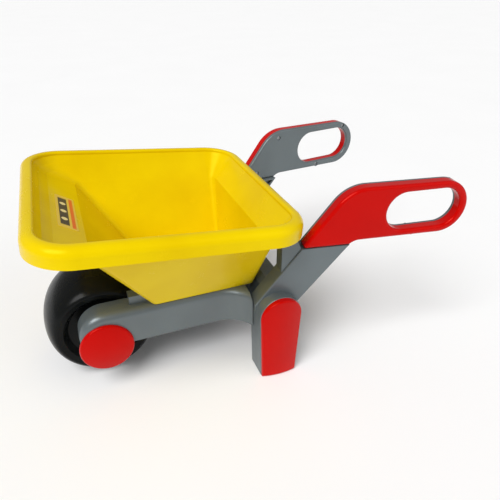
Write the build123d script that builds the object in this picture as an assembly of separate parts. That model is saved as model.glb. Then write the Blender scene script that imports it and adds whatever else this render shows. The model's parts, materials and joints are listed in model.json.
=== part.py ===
from build123d import *
import os
from math import atan, atan2, cos, pi, sin, sqrt

# A child's plastic wheelbarrow, in millimetres.
# +X points back to the handles, -Y is the left side of the child who pushes it, +Z is up.
# The origin lies on the ground, under the middle of the whole toy.

DEG = pi / 180

# ---- driving dimensions ------------------------------------------------------------------
WALL = 3.0                     # usual thickness of a moulded wall
CLEARANCE = 0.3                # gap left between pieces that only lie beside each other

# Wheel and axle
WHEEL_RADIUS = 89.0
WHEEL_HALF_WIDTH = 59.0
SHOULDER_DROP = 19.0           # how far the rounded shoulder falls below the tread
AXLE_X = -244.0
AXLE_Z = WHEEL_RADIUS
AXLE_RADIUS = 4.0
AXLE_HALF_LENGTH = 102.5
RUNNING_GAP = 0.05             # radial play of the bushes on the axle
BUSH_RADIUS = 9.0
BUSH_FLANGE = 1.5
AXLE_BOSS_RADIUS = 10.0
DISH_DEPTH = 12.0              # how far the sides of the wheel are sunk in
DISH_RADIUS = 54.0
HUB_RADIUS = 16.0

CAP_RADIUS = 41.5
CAP_ROUNDING = 3.6
CAP_EDGE = 4.5                 # height of the cap at its edge
CAP_DOME = 5.0                 # extra height of the cap at its middle
CAP_PEG_RADIUS = 2.5
CAP_PEG_CIRCLE = 27.0

# Fork arms of the chassis
ARM_INNER_Y = 61.7
ARM_OUTER_Y = 98.3
ARM_BOTTOM = 86.5
ARM_TOP = 146.0
ARM_EDGE_RADIUS = 13.0
LOBE_RADIUS = 38.0             # round end of the arm about the axle
ARM_REAR = -14.2               # the arm stops against the leg's front
ARM_NOSE_RADIUS = 40.0         # round front of the arm's top edge
ARM_RIBS = (-196.0, -150.0, -110.0, -70.0)
BEND_RADIUS = 56.0             # outward bend of the arm in front of the leg
BEND_ANGLE = 66.0
BEND_START = ARM_REAR - BEND_RADIUS * sin(BEND_ANGLE * DEG)

# Tray between the arms, cheeks that meet the tub's front, and beam behind the tub
TRAY_TOP = 124.0
TRAY_GAP = 6.0                 # from the wheel to the tray's front wall
CHEEK_FRONT = -200.0
CHEEK_TOP = 160.0
CHEEK_INNER_Y = 63.7
CHEEK_OUTER_Y = 82.0
TRAY_DEPTH = 26.0              # height of the tray's side and rear flanges
BEAM_FRONT = 7.5
BEAM_FRONT_TOP = 17.0          # the beam's front leans back above BEAM_KNEE_Z
BEAM_KNEE_Z = 149.0
BEAM_BACK = 42.0
BEAM_TOP = 162.0
BEAM_RIBS = (-60.0, -20.0, 20.0, 60.0)
RIB_RISE = 2.0                 # how far the ribs stop above the beam's lower edge
CHEEK_GAP = 0.5                # from the cheek to the tub's front wall

# Leg, standing straight under the handle bar
LEG_INNER_Y = 121.0
LEG_OUTER_Y = 161.5
LEG_FRONT_TOP = -13.9
LEG_FRONT_FOOT = -10.6
LEG_BACK_TOP = 60.3
LEG_BACK_FOOT = 50.3
LEG_TOP = 153.3
LEG_TOP_RADIUS = 35.0
LEG_RIBS = (50.0, 92.0)        # heights of the ribs inside a leg
LEG_COVER_MARGIN = 0.8         # how far the cover's outline lies inside the leg's
LEG_COVER_ROUNDING = 2.8
LEG_COVER_WALL = 2.4
LEG_COVER_EDGE = 3.2           # height of the cover at its side edges
LEG_COVER_CROWN = 9.4          # height of the cover on its centre line

# Handle and the bar under it, drawn in a plane that splays outward to the back
SPLAY = 0.136                  # sideways run per unit of length
SPLAY_Y = 142.3                # the outer face crosses X = 0 at this distance from the middle
BAR_DEPTH = 30.0
HANDLE_DEPTH = 23.5
COVER_DEPTH = 17.0
BAR_FOOT = (-13.5, 134.2)      # lower end of the bar's straight front edge
HANDLE_CORNER = (131.4, 318.0)  # where that edge would meet the handle's top edge
BAR_LEAN = (HANDLE_CORNER[0] - BAR_FOOT[0]) / (HANDLE_CORNER[1] - BAR_FOOT[1])
BAR_RIBS = (48.0, 88.0, 128.0)  # places of the ribs, along the bar from its foot
RIB_WALL = 2.2
LAP = 6.0                      # how far one block runs into the next where they join
GUSSET_FRONT = 28.7
GUSSET_BACK = 48.0             # from here its top slopes down to the parting line
GUSSET_TOP = 253.0             # just under the skirt of the tub's rim
HANDLE_END = 333.7
HANDLE_TOP = 313.8
HANDLE_BOTTOM = 226.0
HANDLE_END_RADIUS = 43.7
LOOP_CENTRES = (227.3, 288.9)
LOOP_Z = 270.9
LOOP_RADIUS = 32.0
PARTING_Z = 228.6              # height of the parting line at the splay plane's origin
PARTING_SLOPE = -0.034

# Tub
TUB_WALL = 2.8
TUB_FRONT = -167.3
TUB_BACK = 3.5
TUB_HALF_WIDTH = 96.0
TUB_BOTTOM = ARM_TOP
TUB_CORNER_RADIUS = 9.0
RIM_SLOPE = 0.103              # the rim falls towards the handles
RIM_FRONT = -307.0
RIM_BACK = 50.1
RIM_FRONT_Z = 322.4
RIM_HALF_WIDTH = 175.0
LIP_OVERHANG = 14.0
LIP_INSET = 5.0
LIP_SKIRT = 28.0
LIP_CORNER_RADIUS = 62.0
NECK_DROP = 6.0               # the bowl meets the rim this far below the crest
WAIST_DROP = 48.0              # the walls are straight up to this far below the crest, then flare
WAIST_FRONT = 66.0             # how far inside the crest the waist lies, at the front
WAIST_BACK = 29.0
WAIST_SIDE = 26.0
WAIST_CORNER_RADIUS = 16.0
FLARE_BULGE = 0.18             # how much the flare curves out at the front
FLARE_STEPS = (1.0, 0.5, 0.25, 0.0)  # sections of the flare, from the waist up to the rim
LABEL_WIDTH = 114.0
LABEL_HEIGHT = 30.0
LABEL_THICKNESS = 0.4
LABEL_CORNER_RADIUS = 3.0
TUB_POSTS = [(-135.0, -45.0), (-135.0, 45.0), (-40.0, -45.0), (-40.0, 45.0)]
POST_RADIUS = 6.0

# Screws
SCREW_RADIUS = 1.75
SCREW_HEAD_RADIUS = 3.6
SCREW_HEAD_HEIGHT = 2.4
SCREW_BITE = 14.0              # how far a screw goes into the piece that it holds
BOSS_RADIUS = 4.5
HANDLE_RECESS = 4.5            # how deep the handle screws' heads are sunk
HANDLE_BITE = 11.0
HOLE_PLAY = 0.25               # radial play of a screw in a clearance hole
HANDLE_SCREWS = [(98.2, 238.5), (147.8, 303.0), (243.1, 232.8), (306.0, 305.8)]
LEG_SCREWS = [(21.0, 38.0), (23.0, 104.0)]
UPRIGHT_SCREWS = [(12.0, 132.0), (28.0, 132.0), (28.0, 151.0)]
TRAY_SCREWS = [(-128.0, 109.0), (-50.0, 109.0)]
BEAM_SCREWS = [(-40.0, 109.0), (40.0, 109.0)]


# ---- planes and small helpers ------------------------------------------------------------
def side_plane(distance):
    """A plane facing left, this far from the middle; its own axes are X and Z."""
    return Plane(origin=(0, -distance, 0), x_dir=(1, 0, 0), z_dir=(0, -1, 0))


def rear_plane(x):
    """A plane facing back, at this x; its own axes are Y and Z."""
    return Plane(origin=(x, 0, 0), x_dir=(0, 1, 0), z_dir=(1, 0, 0))


def splay_plane(depth):
    """The left handle's plane, moved inward by depth; its own axes run along it and up."""
    angle = atan(SPLAY)
    origin = (depth * sin(angle), depth * cos(angle) - SPLAY_Y, 0)
    return Plane(origin=origin, x_dir=(cos(angle), -sin(angle), 0),
                 z_dir=(-sin(angle), -cos(angle), 0))


def rim_plane(drop=0.0):
    """The sloping plane of the rim's crest, lowered square to itself by drop."""
    angle = atan(RIM_SLOPE)
    middle_x = (RIM_FRONT + RIM_BACK) / 2
    middle_z = RIM_FRONT_Z - RIM_SLOPE * (RIM_BACK - RIM_FRONT) / 2
    normal = Vector(sin(angle), 0, cos(angle))
    origin = Vector(middle_x, 0, middle_z) - normal * drop
    return Plane(origin=origin, x_dir=(cos(angle), 0, -sin(angle)), z_dir=normal)


def outline(points, radii):
    """A closed flat face with its corners rounded to the given radii."""
    return make_face(FilletPolyline(*points, radius=radii, close=True).edges())


def slab(face, plane, outward=0.0, inward=0.0):
    """A face drawn in a plane's own axes, thickened along that plane's normal."""
    direction = -plane.z_dir if inward else plane.z_dir
    return extrude(plane * face, amount=inward or outward, dir=direction)


def rod(plane, x, y, radius, length):
    """A round bar standing on a plane at its own (x, y)."""
    return extrude(plane * Pos(x, y, 0) * Circle(radius), amount=length, dir=plane.z_dir)


def to_right(shape):
    """The matching shape on the right side."""
    return mirror(shape, about=Plane.XZ)


def edges_at(shape, plane, tolerance=0.05):
    """The edges that lie wholly in a plane."""
    def distance(point):
        return abs((point - plane.origin).dot(plane.z_dir))
    return [edge for edge in shape.edges()
            if max(distance(edge @ t) for t in (0.0, 0.5, 1.0)) < tolerance]


# ---- handle, bar and leg -----------------------------------------------------------------
def handle_outline():
    """Side view of one handle with the bar under it."""
    points = [(BAR_FOOT[0], 118.0), BAR_FOOT, HANDLE_CORNER, (HANDLE_END, HANDLE_TOP),
              (HANDLE_END, HANDLE_BOTTOM), (142.7, 229.8), (47.4, 118.0)]
    return outline(points, [0, 0, 60.0, HANDLE_END_RADIUS, HANDLE_END_RADIUS, 25.0, 0])


def loop_opening(grow=0.0):
    """The round-ended finger opening of a handle."""
    length = LOOP_CENTRES[1] - LOOP_CENTRES[0]
    middle = (LOOP_CENTRES[0] + LOOP_CENTRES[1]) / 2
    return Pos(middle, LOOP_Z) * SlotCenterToCenter(length, 2 * (LOOP_RADIUS + grow))


def parting_z(s):
    return PARTING_Z + PARTING_SLOPE * s


def above_parting():
    """Everything above the line where the red cover stops."""
    left, right = -60.0, 400.0
    return make_face(Polyline((left, parting_z(left)), (right, parting_z(right)),
                              (right, 500.0), (left, 500.0), close=True).edges())


def grip_outline(inset=0.0):
    """Side view of the part of the handle that the cover takes up."""
    upper = handle_outline() & above_parting()
    upper = fillet(upper.vertices().sort_by(Axis.X)[0], 4.0)
    return offset(upper, -inset) if inset else upper


def handle_cover():
    """Left red cover: a shell that is open towards the middle."""
    face = splay_plane(0)
    body = slab(grip_outline() - loop_opening(), face, inward=COVER_DEPTH)
    body = fillet(edges_at(body, face), 5.0)
    hollow = grip_outline(2.5) - loop_opening(2.5)
    body -= slab(hollow, splay_plane(2.8), inward=COVER_DEPTH)
    for s, z in HANDLE_SCREWS:
        body += rod(splay_plane(COVER_DEPTH), s, z, BOSS_RADIUS, COVER_DEPTH - 2.0)
        body -= rod(splay_plane(COVER_DEPTH), s, z, SCREW_RADIUS, COVER_DEPTH - 4.0)
    return body


def handle_screw_set():
    """Left screws that hold the handle cover to the upright."""
    plane = splay_plane(HANDLE_DEPTH - HANDLE_RECESS)
    return Compound(children=[screw(plane, s, z, HANDLE_BITE) for s, z in HANDLE_SCREWS])


def screw(plane, x, y, length):
    """A round-headed screw pushed into a plane from its back, with a cross recess."""
    shank = rod(plane, x, y, SCREW_RADIUS, length)
    head_plane = Plane(origin=plane.origin - plane.z_dir * SCREW_HEAD_HEIGHT,
                       x_dir=plane.x_dir, z_dir=plane.z_dir)
    head = rod(head_plane, x, y, SCREW_HEAD_RADIUS, SCREW_HEAD_HEIGHT)
    head = fillet(edges_at(head, head_plane), 1.2)
    for width, height in ((3.6, 0.9), (0.9, 3.6)):
        cross = head_plane * Pos(x, y, 0) * Rectangle(width, height)
        head -= extrude(cross, amount=1.2, dir=plane.z_dir)
    return shank + head


def leg_outline(inset=0.0, foot_radius=2.0):
    """Side view of a leg: slightly tapered, with a round top."""
    points = [(LEG_FRONT_FOOT, 0), (LEG_BACK_FOOT, 0), (LEG_BACK_TOP, LEG_TOP),
              (LEG_FRONT_TOP, LEG_TOP)]
    face = outline(points, [foot_radius, foot_radius, LEG_TOP_RADIUS, LEG_TOP_RADIUS])
    return offset(face, -inset) if inset else face


def leg_middle():
    return (LEG_FRONT_TOP + LEG_BACK_TOP) / 2


def bar_front(z):
    """Where the bar's straight front edge is at a height."""
    return BAR_FOOT[0] + (z - BAR_FOOT[1]) * BAR_LEAN


def bar_front_z(s):
    """The height of the bar's straight front edge at a place along it."""
    return BAR_FOOT[1] + (s - BAR_FOOT[0]) / BAR_LEAN


def gusset_outline(inset=0.0):
    """Side view of the upright rib that stands in front of the bar, up under the rim."""
    front = GUSSET_FRONT + inset
    top = GUSSET_TOP - inset
    foot_z = bar_front_z(front) - LAP
    parting = parting_z(bar_front(PARTING_Z))
    gap = CLEARANCE + inset
    return make_face(Polyline((front, foot_z), (front, top), (GUSSET_BACK - inset, top),
                              (bar_front(parting) - gap, parting),
                              (bar_front(parting) + LAP, parting - LAP),
                              (bar_front(foot_z) + LAP, foot_z), close=True).edges())


def bar_ribs(side_view):
    """Side view of the ribs that stand across the hollow bar."""
    run_x = HANDLE_CORNER[0] - BAR_FOOT[0]
    run_z = HANDLE_CORNER[1] - BAR_FOOT[1]
    length = sqrt(run_x ** 2 + run_z ** 2)
    ribs = Sketch()
    for run in BAR_RIBS:
        middle = Pos(BAR_FOOT[0] + run * run_x / length, BAR_FOOT[1] + run * run_z / length)
        ribs += middle * Rot(0, 0, atan2(run_z, run_x) / DEG) * Rectangle(RIB_WALL, 160.0)
    return ribs & side_view


def upright():
    """Left grey moulding: leg, sloping bar and the inner half of the handle."""
    below = handle_outline() - above_parting()
    bar_face = splay_plane(0)
    bar = slab(below, bar_face, inward=BAR_DEPTH)
    front_edges = [edge for edge in edges_at(bar, bar_face) if edge.length > 90]
    bar = fillet(front_edges, 2.5)
    leg = slab(leg_outline(), side_plane(LEG_INNER_Y), outward=LEG_OUTER_Y - LEG_INNER_Y)
    leg = fillet(edges_at(leg, side_plane(LEG_OUTER_Y)), 1.5)
    gusset = slab(gusset_outline(), splay_plane(WALL), inward=BAR_DEPTH - WALL)
    blank = bar + leg + gusset
    body = blank
    body -= slab(offset(below, -WALL), splay_plane(WALL), inward=BAR_DEPTH)
    body -= slab(leg_outline(WALL), side_plane(LEG_INNER_Y - 20),
                 outward=LEG_OUTER_Y - LEG_INNER_Y + 20 - WALL)
    body -= slab(gusset_outline(WALL), splay_plane(2 * WALL), inward=BAR_DEPTH)

    inner = slab(grip_outline() - loop_opening(), splay_plane(COVER_DEPTH),
                 inward=HANDLE_DEPTH - COVER_DEPTH)
    inner = fillet(edges_at(inner, splay_plane(HANDLE_DEPTH)), 3.0)
    hollow = grip_outline(2.5) - loop_opening(2.5)
    inner -= slab(hollow, splay_plane(COVER_DEPTH), inward=HANDLE_DEPTH - COVER_DEPTH - 2.5)
    web = slab(below & Pos(100, 215) * Rectangle(160, 28), splay_plane(COVER_DEPTH), inward=HANDLE_DEPTH - COVER_DEPTH)
    body += inner + web
    for s, z in HANDLE_SCREWS:
        body += rod(splay_plane(HANDLE_DEPTH), s, z, BOSS_RADIUS + 1.0, HANDLE_DEPTH - COVER_DEPTH)
        body -= rod(splay_plane(HANDLE_DEPTH), s, z, SCREW_RADIUS, HANDLE_DEPTH)
        body -= rod(splay_plane(HANDLE_DEPTH + WALL), s, z, SCREW_HEAD_RADIUS + CLEARANCE,
                    WALL + HANDLE_RECESS)
    body += slab(bar_ribs(below), splay_plane(WALL), inward=BAR_DEPTH - WALL)
    for z in LEG_RIBS:
        body += leg & Pos(0, 0, z) * Box(1000, 1000, RIB_WALL)
    for s, z in UPRIGHT_SCREWS:
        body += rod(splay_plane(BAR_DEPTH), s, z, BOSS_RADIUS, 2 * BAR_DEPTH) & blank
        body -= rod(splay_plane(BAR_DEPTH), s, z, SCREW_RADIUS, 16.0)
    for x, z in LEG_SCREWS:
        body -= rod(side_plane(LEG_INNER_Y), x, z, SCREW_RADIUS, 60.0)
    return body


def leg_cover_body(shrink):
    """The crowned block of the leg cover, drawn inward by shrink all round."""
    half = (LEG_BACK_TOP - LEG_FRONT_TOP) / 2
    rise = LEG_COVER_CROWN - LEG_COVER_EDGE
    crown_radius = (half ** 2 + rise ** 2) / (2 * rise)
    axis_y = crown_radius - LEG_OUTER_Y - LEG_COVER_CROWN
    face = offset(leg_outline(foot_radius=0), -LEG_COVER_MARGIN - shrink, kind=Kind.INTERSECTION)
    block = slab(face, side_plane(LEG_OUTER_Y), outward=2 * LEG_COVER_CROWN)
    return block & Pos(leg_middle(), axis_y, 0) * Cylinder(crown_radius - shrink, 600)


def leg_cover():
    """Left red leg cover: a crowned shell on the outer face of the leg."""
    crowned = leg_cover_body(0.0)
    rim = [edge for edge in crowned.edges()
           if min(abs((edge @ 0.0).Y), abs((edge @ 1.0).Y)) > LEG_OUTER_Y + 1]
    body = fillet(rim, LEG_COVER_ROUNDING) - leg_cover_body(LEG_COVER_WALL)
    for x, z in LEG_SCREWS:
        body += rod(side_plane(LEG_OUTER_Y), x, z, BOSS_RADIUS, LEG_COVER_CROWN - 1.5)
        body -= rod(side_plane(LEG_OUTER_Y), x, z, SCREW_RADIUS, 5.0)
    return body


def leg_screw_set():
    """Left screws that hold the leg cover, put in from inside the leg."""
    plane = side_plane(LEG_OUTER_Y - WALL)
    return Compound(children=[screw(plane, x, z, WALL + 5.0) for x, z in LEG_SCREWS])


# ---- tub ---------------------------------------------------------------------------------
def rim_half_length():
    return (RIM_BACK - RIM_FRONT) / 2 * sqrt(1 + RIM_SLOPE ** 2)


def rim_outline(outward):
    """The crest line of the rim, moved outward (or inward when negative)."""
    return RectangleRounded(2 * (rim_half_length() + outward), 2 * (RIM_HALF_WIDTH + outward),
                            LIP_CORNER_RADIUS - LIP_OVERHANG + outward)


def flare_inset(share, waist, bulge=0.0):
    """How far inside the crest the flare is: share is 0 at the rim and 1 at the waist."""
    neck = LIP_INSET - TUB_WALL
    return neck + (waist - neck) * (share - bulge * sin(pi * share))


def flare_outline(share, inset):
    """The bowl's outline in the flare, drawn inward by inset."""
    front = flare_inset(share, WAIST_FRONT, FLARE_BULGE)
    back = flare_inset(share, WAIST_BACK)
    side = flare_inset(share, WAIST_SIDE)
    rim_radius = LIP_CORNER_RADIUS - LIP_OVERHANG - LIP_INSET + TUB_WALL
    radius = rim_radius + (WAIST_CORNER_RADIUS - rim_radius) * share - inset
    length = 2 * (rim_half_length() - inset) - front - back
    return flare_plane(share) * Pos((front - back) / 2, 0) * RectangleRounded(
        length, 2 * (RIM_HALF_WIDTH - side - inset), radius)


def flare_plane(share):
    return rim_plane(NECK_DROP + (WAIST_DROP - NECK_DROP) * share)


def flare_front(share, inset):
    """The foremost point of the flare at a share, on the middle line."""
    plane = flare_plane(share)
    reach = rim_half_length() - flare_inset(share, WAIST_FRONT, FLARE_BULGE) - inset
    return plane.origin - plane.x_dir * reach


def bowl(inset):
    """The block that the bowl's skin encloses, drawn inward by inset."""
    middle = (TUB_BACK + TUB_FRONT) / 2
    half_length = (TUB_BACK - TUB_FRONT) / 2
    bottom = Plane(origin=(middle, 0, TUB_BOTTOM + inset)) * RectangleRounded(
        2 * (half_length - inset), 2 * (TUB_HALF_WIDTH - inset), TUB_CORNER_RADIUS - inset)
    flare = [flare_outline(share, inset) for share in FLARE_STEPS]
    return loft([bottom] + flare, ruled=True)


def inside_rim(edges):
    """The edges that run round the inner side of the rim's crest."""
    plane = rim_plane()
    chosen = []
    for edge in edges:
        point = plane.to_local_coords(edge @ 0.5)
        if abs(point.X) < rim_half_length() - 1 and abs(point.Y) < RIM_HALF_WIDTH - 1:
            chosen.append(edge)
    return chosen


def tub():
    """Yellow tub: sloping walls, a rolled rim and four posts under the floor."""
    crest = rim_plane()
    rim = slab(rim_outline(LIP_OVERHANG), crest, inward=LIP_SKIRT)
    rim = fillet(edges_at(rim, crest), LIP_OVERHANG - 0.5)
    rim -= slab(rim_outline(-LIP_INSET), crest, inward=LIP_SKIRT)
    rim = fillet(inside_rim(edges_at(rim, crest)), LIP_INSET - 1.0)
    under = rim_plane(TUB_WALL)
    groove = slab(rim_outline(LIP_OVERHANG - TUB_WALL), under, inward=LIP_SKIRT)
    groove = fillet(edges_at(groove, under), LIP_OVERHANG - 0.5 - TUB_WALL)
    groove -= slab(rim_outline(TUB_WALL - LIP_INSET), crest, inward=NECK_DROP)
    groove = fillet(inside_rim(edges_at(groove, under)), LIP_INSET - 1.0 - TUB_WALL)
    body = rim - groove + (bowl(0.0) - bowl(TUB_WALL))
    for x, y in TUB_POSTS:
        post = Pos(x, y, TRAY_TOP) * Cylinder(POST_RADIUS, TUB_BOTTOM - TRAY_TOP + 0.5,
                                              align=(Align.CENTER, Align.CENTER, Align.MIN))
        pilot = Pos(x, y, TRAY_TOP) * Cylinder(SCREW_RADIUS, 16.0,
                                               align=(Align.CENTER, Align.CENTER, Align.MIN))
        body = body + post - pilot
    return body


def tub_label():
    """Plain sticker on the inside of the tub's front, at the foot of its flare."""
    foot = flare_front(FLARE_STEPS[0], TUB_WALL)
    head = flare_front(FLARE_STEPS[1], TUB_WALL)
    up = (head - foot).normalized()
    normal = Vector(up.Z, 0, -up.X)
    face = Plane(origin=(foot + head) / 2, x_dir=(0, 1, 0), z_dir=normal)
    sticker = RectangleRounded(LABEL_WIDTH, LABEL_HEIGHT, LABEL_CORNER_RADIUS)
    return slab(sticker, face, outward=LABEL_THICKNESS)


# ---- chassis -----------------------------------------------------------------------------
def arm_plan(inset=0.0, back=ARM_REAR):
    """Plan view of the left arm, seen from above, with its outward bend before the leg."""
    outer = -(ARM_OUTER_Y - inset)
    radius = BEND_RADIUS + inset

    def bend_point(angle):
        return (BEND_START + radius * sin(angle * DEG), outer - radius * (1 - cos(angle * DEG)))

    front = AXLE_X - LOBE_RADIUS + inset
    inner = -(ARM_INNER_Y + inset)
    bend = ThreePointArc(bend_point(0), bend_point(BEND_ANGLE / 2), bend_point(BEND_ANGLE))
    rest = Polyline(bend_point(BEND_ANGLE), (bend_point(BEND_ANGLE)[0], inner),
                    (front, inner), (front, outer), bend_point(0))
    plan = make_face(bend.edges() + rest.edges())
    return plan & Pos(back - 200, -100) * Rectangle(400, 200)


def arm_profile(inset=0.0):
    """Side view of an arm: a round lobe about the axle, then a straight bar."""
    top = ARM_TOP - inset
    front = AXLE_X - LOBE_RADIUS + inset
    bar = outline([(front, AXLE_Z), (front, top), (0.0, top), (0.0, ARM_BOTTOM + inset),
                   (AXLE_X, ARM_BOTTOM + inset), (AXLE_X, AXLE_Z)],
                  [0, ARM_NOSE_RADIUS - inset, 0, 0, 0, 0])
    return bar + Pos(AXLE_X, AXLE_Z) * Circle(LOBE_RADIUS - inset)


def arm_block(inset=0.0):
    """One arm as a solid block, drawn inward by inset."""
    plan = Plane.XY * arm_plan(inset, ARM_REAR - inset)
    block = extrude(plan, amount=200.0) & slab(arm_profile(inset), side_plane(0), outward=200.0)
    outer = ARM_OUTER_Y - inset - 0.1
    rim = [edge for edge in block.edges()
           if abs((edge @ 0.5).Y) > outer and (edge @ 0.5).Z > AXLE_Z
           and (edge @ 0.0 - edge @ 1.0).length > 5.0 and (edge @ 0.5).X < ARM_REAR - inset - 0.1]
    return fillet(rim, ARM_EDGE_RADIUS - inset)


def cap_pegs():
    """Places of the pegs that hold an axle cap on its arm."""
    angles = [(90 + 120 * step) * DEG for step in range(3)]
    return [(AXLE_X + CAP_PEG_CIRCLE * cos(angle), AXLE_Z + CAP_PEG_CIRCLE * sin(angle))
            for angle in angles]


def cheek():
    """Low block on top of an arm that meets the tub's sloping front."""
    waist = flare_front(1.0, 0.0)
    rake = (TUB_FRONT - waist.X) / (waist.Z - TUB_BOTTOM)
    back = TUB_FRONT - CHEEK_GAP
    sunk = ARM_TOP - WALL / 2
    face = make_face(Polyline((CHEEK_FRONT, sunk), (CHEEK_FRONT, CHEEK_TOP),
                              (back - (CHEEK_TOP - TUB_BOTTOM) * rake, CHEEK_TOP),
                              (back, TUB_BOTTOM), (back, sunk), close=True).edges())
    return slab(face, side_plane(CHEEK_INNER_Y), outward=CHEEK_OUTER_Y - CHEEK_INNER_Y)


def fork_arm():
    """Left fork arm: a moulding open at the bottom, from the axle back to the leg."""
    blank = arm_block(0.0)
    hollow = arm_block(WALL)
    below = extrude(Plane.XY * arm_plan(WALL, ARM_REAR - WALL), amount=ARM_BOTTOM + 20.0)
    hollow += below & Pos(AXLE_X + 300, 0, 0) * Box(500, 400, 400)
    body = blank - hollow + cheek()
    body += rod(side_plane(ARM_INNER_Y), AXLE_X, AXLE_Z, AXLE_BOSS_RADIUS, ARM_OUTER_Y - ARM_INNER_Y)
    for x in ARM_RIBS:
        body += blank & Pos(x, 0, 0) * Box(RIB_WALL, 1000, 1000)
    for x, z in TRAY_SCREWS:
        body += rod(side_plane(ARM_INNER_Y), x, z, BOSS_RADIUS, 2 * SCREW_BITE) & blank
        body -= rod(side_plane(ARM_INNER_Y), x, z, SCREW_RADIUS, SCREW_BITE)
    for x, z in cap_pegs():
        body -= rod(side_plane(ARM_OUTER_Y - 2 * WALL), x, z, CAP_PEG_RADIUS + 0.1, 4 * WALL)
    return body - rod(side_plane(0), AXLE_X, AXLE_Z, AXLE_RADIUS, 200.0)


def tray():
    """The web between the arms that carries the tub, with flanges and a front wall."""
    front = AXLE_X + WHEEL_RADIUS + TRAY_GAP
    length = BEAM_FRONT - front
    middle = front + length / 2
    body = Pos(middle, 0, TRAY_TOP - TRAY_DEPTH / 2) * Box(length, 2 * ARM_INNER_Y, TRAY_DEPTH)
    body -= Pos(middle, 0, TRAY_TOP - WALL - TRAY_DEPTH / 2) * Box(
        length - 2 * WALL, 2 * (ARM_INNER_Y - WALL), TRAY_DEPTH)
    wall_height = ARM_TOP - ARM_BOTTOM
    body += Pos(front + WALL / 2, 0, ARM_BOTTOM + wall_height / 2) * Box(
        WALL, 2 * ARM_INNER_Y, wall_height)
    for x, y in TUB_POSTS:
        body -= Pos(x, y, TRAY_TOP) * Cylinder(SCREW_RADIUS + HOLE_PLAY, 4 * WALL)
    for x, z in TRAY_SCREWS:
        hole = rod(side_plane(ARM_INNER_Y - 2 * WALL), x, z, SCREW_RADIUS + HOLE_PLAY, 4 * WALL)
        body -= hole + to_right(hole)
    for y, z in BEAM_SCREWS:
        body -= rod(rear_plane(BEAM_FRONT - 2 * WALL), y, z, SCREW_RADIUS + HOLE_PLAY, 4 * WALL)
    return body


def rear_beam():
    """Hollow beam that joins the two uprights behind the tub, open at the bottom."""
    outer = [(BEAM_FRONT, ARM_BOTTOM), (BEAM_FRONT, BEAM_KNEE_Z), (BEAM_FRONT_TOP, BEAM_TOP),
             (BEAM_BACK, BEAM_TOP), (BEAM_BACK, ARM_BOTTOM)]
    inner = [(BEAM_FRONT + WALL, 0), (BEAM_FRONT + WALL, BEAM_KNEE_Z),
             (BEAM_FRONT_TOP + WALL, BEAM_TOP - WALL), (BEAM_BACK - WALL, BEAM_TOP - WALL),
             (BEAM_BACK - WALL, 0)]
    side = BAR_DEPTH + CLEARANCE
    block = sheared_block(outer, side)
    body = block - sheared_block(inner, side + WALL)
    for y in BEAM_RIBS:
        body += block & Pos(0, y, ARM_BOTTOM + RIB_RISE + 500) * Box(1000, RIB_WALL, 1000)
    for y, z in BEAM_SCREWS:
        body += rod(rear_plane(BEAM_FRONT), y, z, BOSS_RADIUS, SCREW_BITE + 2.0)
        body -= rod(rear_plane(BEAM_FRONT), y, z, SCREW_RADIUS, SCREW_BITE)
    for s, z in UPRIGHT_SCREWS:
        hole = rod(splay_plane(side + 2 * WALL), s, z, SCREW_RADIUS + HOLE_PLAY, 4 * WALL)
        body -= hole + to_right(hole)
    return body


def sheared_block(profile, depth):
    """A side view spread over the width, out to the splayed handle planes moved inward by depth."""
    reach = 200.0
    block = slab(make_face(Polyline(*profile, close=True).edges()), side_plane(-reach),
                 outward=2 * reach)
    beyond = slab(Pos(0, 100) * Rectangle(1000, 400), splay_plane(depth), outward=reach)
    return block - beyond - to_right(beyond)


def tub_screw_set():
    """Screws that hold the tub's posts down on the tray."""
    plane = Plane(origin=(0, 0, TRAY_TOP - WALL), x_dir=(1, 0, 0), z_dir=(0, 0, 1))
    return Compound(children=[screw(plane, x, y, WALL + SCREW_BITE) for x, y in TUB_POSTS])


def upright_screw_set():
    """Left screws that hold the upright to the side of the beam."""
    plane = splay_plane(BAR_DEPTH + CLEARANCE + WALL)
    return Compound(children=[screw(plane, x, z, WALL + SCREW_BITE) for x, z in UPRIGHT_SCREWS])


def tray_screw_set():
    """Left screws that hold the tray's flange to the fork arm."""
    plane = side_plane(ARM_INNER_Y - WALL)
    return Compound(children=[screw(plane, x, z, WALL + SCREW_BITE) for x, z in TRAY_SCREWS])


def beam_screw_set():
    """Screws that hold the tray's rear flange to the beam."""
    plane = rear_plane(BEAM_FRONT - WALL)
    return Compound(children=[screw(plane, y, z, WALL + SCREW_BITE) for y, z in BEAM_SCREWS])


# ---- wheel and axle ----------------------------------------------------------------------
def wheel_half():
    """Left half of the black wheel: a shell with a rounded shoulder, a dished side and a hub."""
    def section(inset):
        half = WHEEL_HALF_WIDTH - inset
        shoulder = WHEEL_RADIUS - SHOULDER_DROP
        tread = EllipticalCenterArc((0, shoulder), half, SHOULDER_DROP - inset, arc_size=90)
        dish = WHEEL_HALF_WIDTH - DISH_DEPTH - inset
        hub = WHEEL_HALF_WIDTH - BUSH_FLANGE - inset
        side = Polyline((half, shoulder), (half - 2.0, DISH_RADIUS + 8.0 + inset),
                        (dish, DISH_RADIUS + inset), (dish, HUB_RADIUS + 8.0 - inset),
                        (hub, HUB_RADIUS + 2.0 - inset), (hub, BUSH_RADIUS + inset),
                        (0, BUSH_RADIUS + inset), (0, WHEEL_RADIUS - inset))
        return make_face(tread.edges() + side.edges())

    # The section is drawn with its first axis to the left and its second one up.
    plane = Plane(origin=(AXLE_X, 0, AXLE_Z), x_dir=(0, -1, 0), z_dir=(-1, 0, 0))
    return revolve(plane * (section(0.0) - section(WALL)), Axis(plane.origin, (0, 1, 0)), 360)


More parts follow.
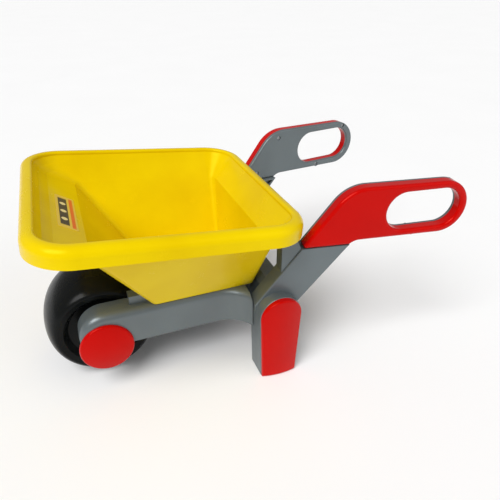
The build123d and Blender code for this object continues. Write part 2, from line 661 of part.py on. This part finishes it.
def bush():
    """Left wheel bush, with a flange outside the wheel's hub."""
    bore = AXLE_RADIUS + RUNNING_GAP
    face = WHEEL_HALF_WIDTH - BUSH_FLANGE
    body = rod(side_plane(face - 20.0), AXLE_X, AXLE_Z, BUSH_RADIUS, 20.0)
    body += rod(side_plane(face), AXLE_X, AXLE_Z, 13.0, BUSH_FLANGE)
    return body - rod(side_plane(0), AXLE_X, AXLE_Z, bore, 100.0)


def washer():
    body = rod(side_plane(ARM_INNER_Y - 1.4), AXLE_X, AXLE_Z, 10.0, 1.4)
    return body - rod(side_plane(0), AXLE_X, AXLE_Z, AXLE_RADIUS, 100.0)


def axle():
    body = rod(side_plane(-AXLE_HALF_LENGTH), AXLE_X, AXLE_Z, AXLE_RADIUS, 2 * AXLE_HALF_LENGTH)
    return chamfer(body.edges(), 0.8)


def push_nut():
    """Left sprung cap nut that holds the axle from outside the arm."""
    body = rod(side_plane(ARM_OUTER_Y), AXLE_X, AXLE_Z, 9.0, 1.2)
    body += rod(side_plane(ARM_OUTER_Y), AXLE_X, AXLE_Z, 6.0, 3.0)
    return body - rod(side_plane(0), AXLE_X, AXLE_Z, AXLE_RADIUS, 200.0)


def axle_cap():
    """Left red hub cap: a shallow dome with three pegs."""
    def dome(inset):
        radius = CAP_RADIUS - inset
        rise = CAP_DOME
        ball = ((CAP_RADIUS ** 2) + rise ** 2) / (2 * rise) - inset
        centre = -(ARM_OUTER_Y + CAP_EDGE + CAP_DOME) + ball + inset
        disc = rod(side_plane(ARM_OUTER_Y), AXLE_X, AXLE_Z, radius, CAP_EDGE + CAP_DOME + 1)
        return disc & (Pos(AXLE_X, centre, AXLE_Z) * Sphere(ball))
    outer = dome(0.0)
    rim = [edge for edge in outer.edges() if abs((edge @ 0.5).Y) > ARM_OUTER_Y + 1]
    body = fillet(rim, CAP_ROUNDING) - dome(2.4)
    for x, z in cap_pegs():
        body += rod(side_plane(ARM_OUTER_Y - 2.5), x, z, CAP_PEG_RADIUS, 2.5 + CAP_EDGE + 2.0)
    return body


PAIRS = {
    "upright": upright(),
    "handle_cover": handle_cover(),
    "handle_screws": handle_screw_set(),
    "leg_cover": leg_cover(),
    "leg_cover_screws": leg_screw_set(),
    "upright_screws": upright_screw_set(),
    "fork_arm": fork_arm(),
    "tray_screws": tray_screw_set(),
    "axle_cap": axle_cap(),
    "axle_washer": washer(),
    "push_nut": push_nut(),
    "wheel_half": wheel_half(),
    "wheel_bush": bush(),
}
SINGLES = {
    "tub": tub(),
    "tub_label": tub_label(),
    "tub_screws": tub_screw_set(),
    "tray": tray(),
    "rear_beam": rear_beam(),
    "beam_screws": beam_screw_set(),
    "axle": axle(),
}

os.makedirs("parts", exist_ok=True)
for name, shape in SINGLES.items():
    export_step(shape, f"parts/{name}.step")
for name, shape in PAIRS.items():
    export_step(shape, f"parts/{name}_left.step")
    export_step(to_right(shape), f"parts/{name}_right.step")
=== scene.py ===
import json
import math

import bpy
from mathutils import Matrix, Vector


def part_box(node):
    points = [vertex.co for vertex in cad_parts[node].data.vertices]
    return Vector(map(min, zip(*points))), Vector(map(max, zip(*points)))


# Looks of a child's plastic wheelbarrow. Metres; +X points back to the handles, -Y is left, +Z is up.

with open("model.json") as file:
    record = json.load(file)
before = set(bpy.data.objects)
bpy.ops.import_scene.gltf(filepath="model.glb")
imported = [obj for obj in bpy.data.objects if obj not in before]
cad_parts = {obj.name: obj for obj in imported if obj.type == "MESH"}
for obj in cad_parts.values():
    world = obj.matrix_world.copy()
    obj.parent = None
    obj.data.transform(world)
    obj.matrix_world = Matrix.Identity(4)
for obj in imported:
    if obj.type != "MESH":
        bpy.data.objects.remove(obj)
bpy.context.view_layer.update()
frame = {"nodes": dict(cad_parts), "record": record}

# Camera: where it stands, where it looks, and its lens on a 36 mm sensor.
CAMERA_PLACE = Vector((-0.2478, -0.7118, 0.6042))
CAMERA_LOOK = Vector((0.3154, 0.7993, -0.5115))
CAMERA_LENS = 34.98
SENSOR_WIDTH = 36.0

# Linear colours: the usual one of each plastic, and the one that its darker patches have.
LEMON = (0.82, 0.60, 0.0008)
OCHRE = (0.74, 0.51, 0.0006)
SILVER = (0.150, 0.178, 0.188)
SILVER_DARK = (0.125, 0.148, 0.157)
SCARLET = (0.55, 0.002, 0.0012)
SCARLET_DARK = (0.48, 0.0015, 0.001)
INK = (0.0035, 0.0040, 0.0040)
INK_DUSTY = (0.008, 0.009, 0.009)
ZINC = (0.55, 0.56, 0.57)
ZINC_DARK = (0.38, 0.38, 0.40)
ACETAL = (0.78, 0.77, 0.72)
ACETAL_DARK = (0.66, 0.65, 0.60)
CREAM = (0.88, 0.74, 0.33)
STRAW = (0.80, 0.56, 0.06)
ORANGE = (0.80, 0.13, 0.008)
CHARCOAL = (0.02, 0.02, 0.022)
FLOOR_PALE = (0.93, 0.93, 0.93)
FLOOR_PALER = (0.96, 0.96, 0.96)
WHITE = (1.0, 1.0, 1.0)

# Reflections seen straight on: the tint that each coloured plastic gives to them.
TINT_YELLOW = (1.0, 0.80, 0.05, 1.0)
TINT_RED = (1.0, 0.16, 0.12, 1.0)

# Sticker layout, as shares of its width and of its height.
FOOT_WIDTH = (0.04, 0.96)
FOOT_HEIGHT = (0.12, 0.30)
PANEL_WIDTH = (0.08, 0.92)
PANEL_HEIGHT = (0.42, 0.86)
PANEL_MIDDLE = 0.64
DOT_CENTRES = (0.26, 0.50, 0.74)
DOT_EDGE = (0.022, 0.026)      # squared radius where a dot starts and ends its soft edge

# Light: the key comes from the front left, the side light fills the shadows at the handles.
KEY_TOWARDS = (-0.6, -0.5, 1.0)
KEY_POWER = 2.6
KEY_WIDTH = 38.0
SIDE_TOWARDS = (0.9, -0.9, 0.7)
SIDE_POWER = 0.45
SIDE_WIDTH = 50.0
WORLD_STRENGTH = 0.32
FLOOR_HALF = 15.0


# ---- node helpers ------------------------------------------------------------------------
class Graph:
    """A material's node tree, with short calls to add nodes and join them."""

    def __init__(self, name):
        self.material = bpy.data.materials.new(name)
        self.material.use_nodes = True
        self.tree = self.material.node_tree
        self.shader = self.tree.nodes["Principled BSDF"]
        self.place = self.tree.nodes.new("ShaderNodeTexCoord").outputs["Object"]

    def join(self, source, target):
        self.tree.links.new(source, target)

    def noise(self, scale, detail=3.0, place=None):
        """A noise whose features are about 1 / scale metres across."""
        node = self.tree.nodes.new("ShaderNodeTexNoise")
        node.inputs["Scale"].default_value = scale
        node.inputs["Detail"].default_value = detail
        self.join(place or self.place, node.inputs["Vector"])
        return node.outputs["Fac"]

    def stretched(self, scale):
        """Object coordinates multiplied along each axis."""
        node = self.tree.nodes.new("ShaderNodeMapping")
        node.inputs["Scale"].default_value = scale
        self.join(self.place, node.inputs["Vector"])
        return node.outputs["Vector"]

    def spread(self, value, low, high, out_low=0.0, out_high=1.0):
        """The stretch of a value from low to high, mapped to another stretch and clamped."""
        node = self.tree.nodes.new("ShaderNodeMapRange")
        node.inputs["From Min"].default_value = low
        node.inputs["From Max"].default_value = high
        node.inputs["To Min"].default_value = out_low
        node.inputs["To Max"].default_value = out_high
        self.join(value, node.inputs["Value"])
        return node.outputs["Result"]

    def maths(self, operation, first, second):
        """One Math node; each operand is a socket or a number."""
        node = self.tree.nodes.new("ShaderNodeMath")
        node.operation = operation
        for operand, socket in zip((first, second), node.inputs):
            if isinstance(operand, (int, float)):
                socket.default_value = operand
            else:
                self.join(operand, socket)
        return node.outputs["Value"]

    def blend(self, share, first, second):
        """A colour that goes from the first to the second as share goes from 0 to 1."""
        node = self.tree.nodes.new("ShaderNodeMix")
        node.data_type = "RGBA"
        factor = next(s for s in node.inputs if s.identifier == "Factor_Float")
        ends = [s for s in node.inputs if s.identifier in ("A_Color", "B_Color")]
        self.join(share, factor)
        for operand, socket in zip((first, second), ends):
            if isinstance(operand, tuple):
                socket.default_value = (*operand, 1.0)
            else:
                self.join(operand, socket)
        return next(s for s in node.outputs if s.identifier == "Result_Color")

    def bump(self, *layers):
        """Bump from (height socket, depth in metres) layers, one over the other."""
        normal = None
        for height, depth in layers:
            node = self.tree.nodes.new("ShaderNodeBump")
            node.inputs["Distance"].default_value = depth
            self.join(height, node.inputs["Height"])
            if normal:
                self.join(normal, node.inputs["Normal"])
            normal = node.outputs["Normal"]
        self.join(normal, self.shader.inputs["Normal"])

    def set(self, values):
        for name, value in values.items():
            self.shader.inputs[name].default_value = value


def moulded(name, colour, dark, rough, orange_peel, extra=None):
    """Moulded plastic: flow patches in the colour, orange peel, and fine rubs in the gloss.

    rough is the lowest and the highest roughness; orange_peel is its depth in metres."""
    graph = Graph(name)
    flow = graph.noise(9.0, 4.0)
    graph.join(graph.blend(graph.spread(flow, 0.35, 0.7), colour, dark),
               graph.shader.inputs["Base Color"])
    handled = graph.noise(26.0, 6.0)
    rubs = graph.noise(900.0, 2.0, graph.stretched((1.0, 0.12, 0.5)))
    wear = graph.maths("MULTIPLY", graph.spread(handled, 0.35, 0.75),
                       graph.spread(rubs, 0.3, 0.8, 0.5, 1.0))
    graph.join(graph.spread(wear, 0.0, 1.0, *rough), graph.shader.inputs["Roughness"])
    graph.bump((graph.noise(260.0, 2.0), orange_peel), (graph.noise(14.0, 1.0), orange_peel * 12),
               (rubs, orange_peel * 0.3))
    graph.set({"IOR": 1.49, **(extra or {})})
    return graph.material


def steel():
    """Zinc-plated steel with drawing marks round the shank."""
    graph = Graph("zinc_steel")
    spangle = graph.noise(420.0, 3.0)
    graph.join(graph.blend(spangle, ZINC, ZINC_DARK), graph.shader.inputs["Base Color"])
    drawn = graph.noise(1500.0, 2.0, graph.stretched((1.0, 0.03, 1.0)))
    graph.join(graph.spread(drawn, 0.3, 0.7, 0.24, 0.42), graph.shader.inputs["Roughness"])
    graph.bump((drawn, 0.00002))
    graph.set({"Metallic": 1.0})
    return graph.material


def band(graph, value, low, high, soft=0.012):
    """1 where a value lies between low and high, else 0, with soft ends."""
    rise = graph.spread(value, low - soft, low + soft)
    fall = graph.spread(value, high - soft, high + soft, 1.0, 0.0)
    return graph.maths("MULTIPLY", rise, fall)


def sticker():
    """Printed film: a straw field with a charcoal panel, three round dots and an orange foot."""
    graph = Graph("printed_sticker")
    low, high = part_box("tub_label")
    split = graph.tree.nodes.new("ShaderNodeSeparateXYZ")
    graph.join(graph.place, split.inputs[0])
    along = graph.spread(split.outputs["Y"], low.y, high.y)
    up = graph.spread(split.outputs["Z"], low.z, high.z)
    foot = graph.maths("MULTIPLY", band(graph, along, *FOOT_WIDTH), band(graph, up, *FOOT_HEIGHT))
    panel = graph.maths("MULTIPLY", band(graph, along, *PANEL_WIDTH),
                        band(graph, up, *PANEL_HEIGHT))
    colour = graph.blend(foot, STRAW, ORANGE)
    colour = graph.blend(panel, colour, CHARCOAL)
    width = high.y - low.y
    height = math.hypot(high.x - low.x, high.z - low.z)
    for centre in DOT_CENTRES:
        across = graph.maths("MULTIPLY", graph.maths("SUBTRACT", along, centre), width / height)
        rise = graph.maths("SUBTRACT", up, PANEL_MIDDLE)
        square = graph.maths("ADD", graph.maths("MULTIPLY", across, across),
                             graph.maths("MULTIPLY", rise, rise))
        dot = graph.spread(square, *DOT_EDGE, 1.0, 0.0)
        colour = graph.blend(dot, colour, CREAM)
    ink = graph.noise(700.0, 3.0)
    graph.join(graph.blend(graph.spread(ink, 0.45, 0.9, 0.0, 0.25), colour, STRAW),
               graph.shader.inputs["Base Color"])
    graph.join(graph.spread(ink, 0.3, 0.7, 0.3, 0.42), graph.shader.inputs["Roughness"])
    graph.bump((graph.noise(120.0, 2.0), 0.0001))
    return graph.material


def floor_material():
    graph = Graph("floor_paper")
    graph.join(graph.blend(graph.noise(3.0, 2.0), FLOOR_PALE, FLOOR_PALER),
               graph.shader.inputs["Base Color"])
    graph.set({"Roughness": 0.85, "Specular IOR Level": 0.2})
    return graph.material


# ---- materials on the CAD nodes ----------------------------------------------------------
def dress(finishes):
    """Gives every CAD node the finish of the record's slot that it has."""
    slots = {part["node"]: part["material_slot"] for part in frame["record"]["subparts"]}
    for name, node in frame["nodes"].items():
        for slot in node.material_slots:
            slot.material = finishes[slots[name]]


# ---- light, floor and camera -------------------------------------------------------------
def soft_sun(name, towards, power, angle):
    """A far round softbox: it shines from the direction towards, and is angle degrees wide."""
    data = bpy.data.lights.new(name, "SUN")
    data.energy = power
    data.angle = math.radians(angle)
    light = bpy.data.objects.new(name, data)
    light.rotation_euler = (-Vector(towards)).to_track_quat("-Z", "Y").to_euler()
    bpy.context.scene.collection.objects.link(light)


def studio():
    soft_sun("key_light", KEY_TOWARDS, KEY_POWER, KEY_WIDTH)
    soft_sun("side_light", SIDE_TOWARDS, SIDE_POWER, SIDE_WIDTH)
    world = bpy.data.worlds.new("studio")
    world.use_nodes = True
    background = world.node_tree.nodes["Background"]
    background.inputs["Color"].default_value = (*WHITE, 1.0)
    background.inputs["Strength"].default_value = WORLD_STRENGTH
    bpy.context.scene.world = world
    bpy.context.scene.view_settings.view_transform = "Standard"


def floor():
    corners = [(-FLOOR_HALF, -FLOOR_HALF, 0), (FLOOR_HALF, -FLOOR_HALF, 0),
               (FLOOR_HALF, FLOOR_HALF, 0), (-FLOOR_HALF, FLOOR_HALF, 0)]
    mesh = bpy.data.meshes.new("floor")
    mesh.from_pydata(corners, [], [(0, 1, 2, 3)])
    mesh.materials.append(floor_material())
    plane = bpy.data.objects.new("floor", mesh)
    bpy.context.scene.collection.objects.link(plane)


def camera():
    data = bpy.data.cameras.new("camera")
    data.lens = CAMERA_LENS
    data.sensor_width = SENSOR_WIDTH
    viewer = bpy.data.objects.new("camera", data)
    viewer.location = CAMERA_PLACE
    viewer.rotation_euler = CAMERA_LOOK.to_track_quat("-Z", "Y").to_euler()
    bpy.context.scene.collection.objects.link(viewer)
    bpy.context.scene.camera = viewer


camera()
dress({
    "yellow": moulded("yellow_plastic", LEMON, OCHRE, (0.20, 0.34), 0.000012,
                      {"Specular IOR Level": 0.35, "Specular Tint": TINT_YELLOW}),
    "grey": moulded("silver_plastic", SILVER, SILVER_DARK, (0.30, 0.44), 0.000014,
                    {"Metallic": 0.35}),
    "red": moulded("red_plastic", SCARLET, SCARLET_DARK, (0.16, 0.30), 0.000010,
                   {"Specular IOR Level": 0.45, "Specular Tint": TINT_RED}),
    "black": moulded("black_plastic", INK, INK_DUSTY, (0.20, 0.33), 0.000010,
                      {"Specular IOR Level": 0.25, "IOR": 1.30}),
    "steel": steel(),
    "bearing": moulded("acetal_plastic", ACETAL, ACETAL_DARK, (0.35, 0.50), 0.000010),
    "label": sticker(),
})
studio()
floor()
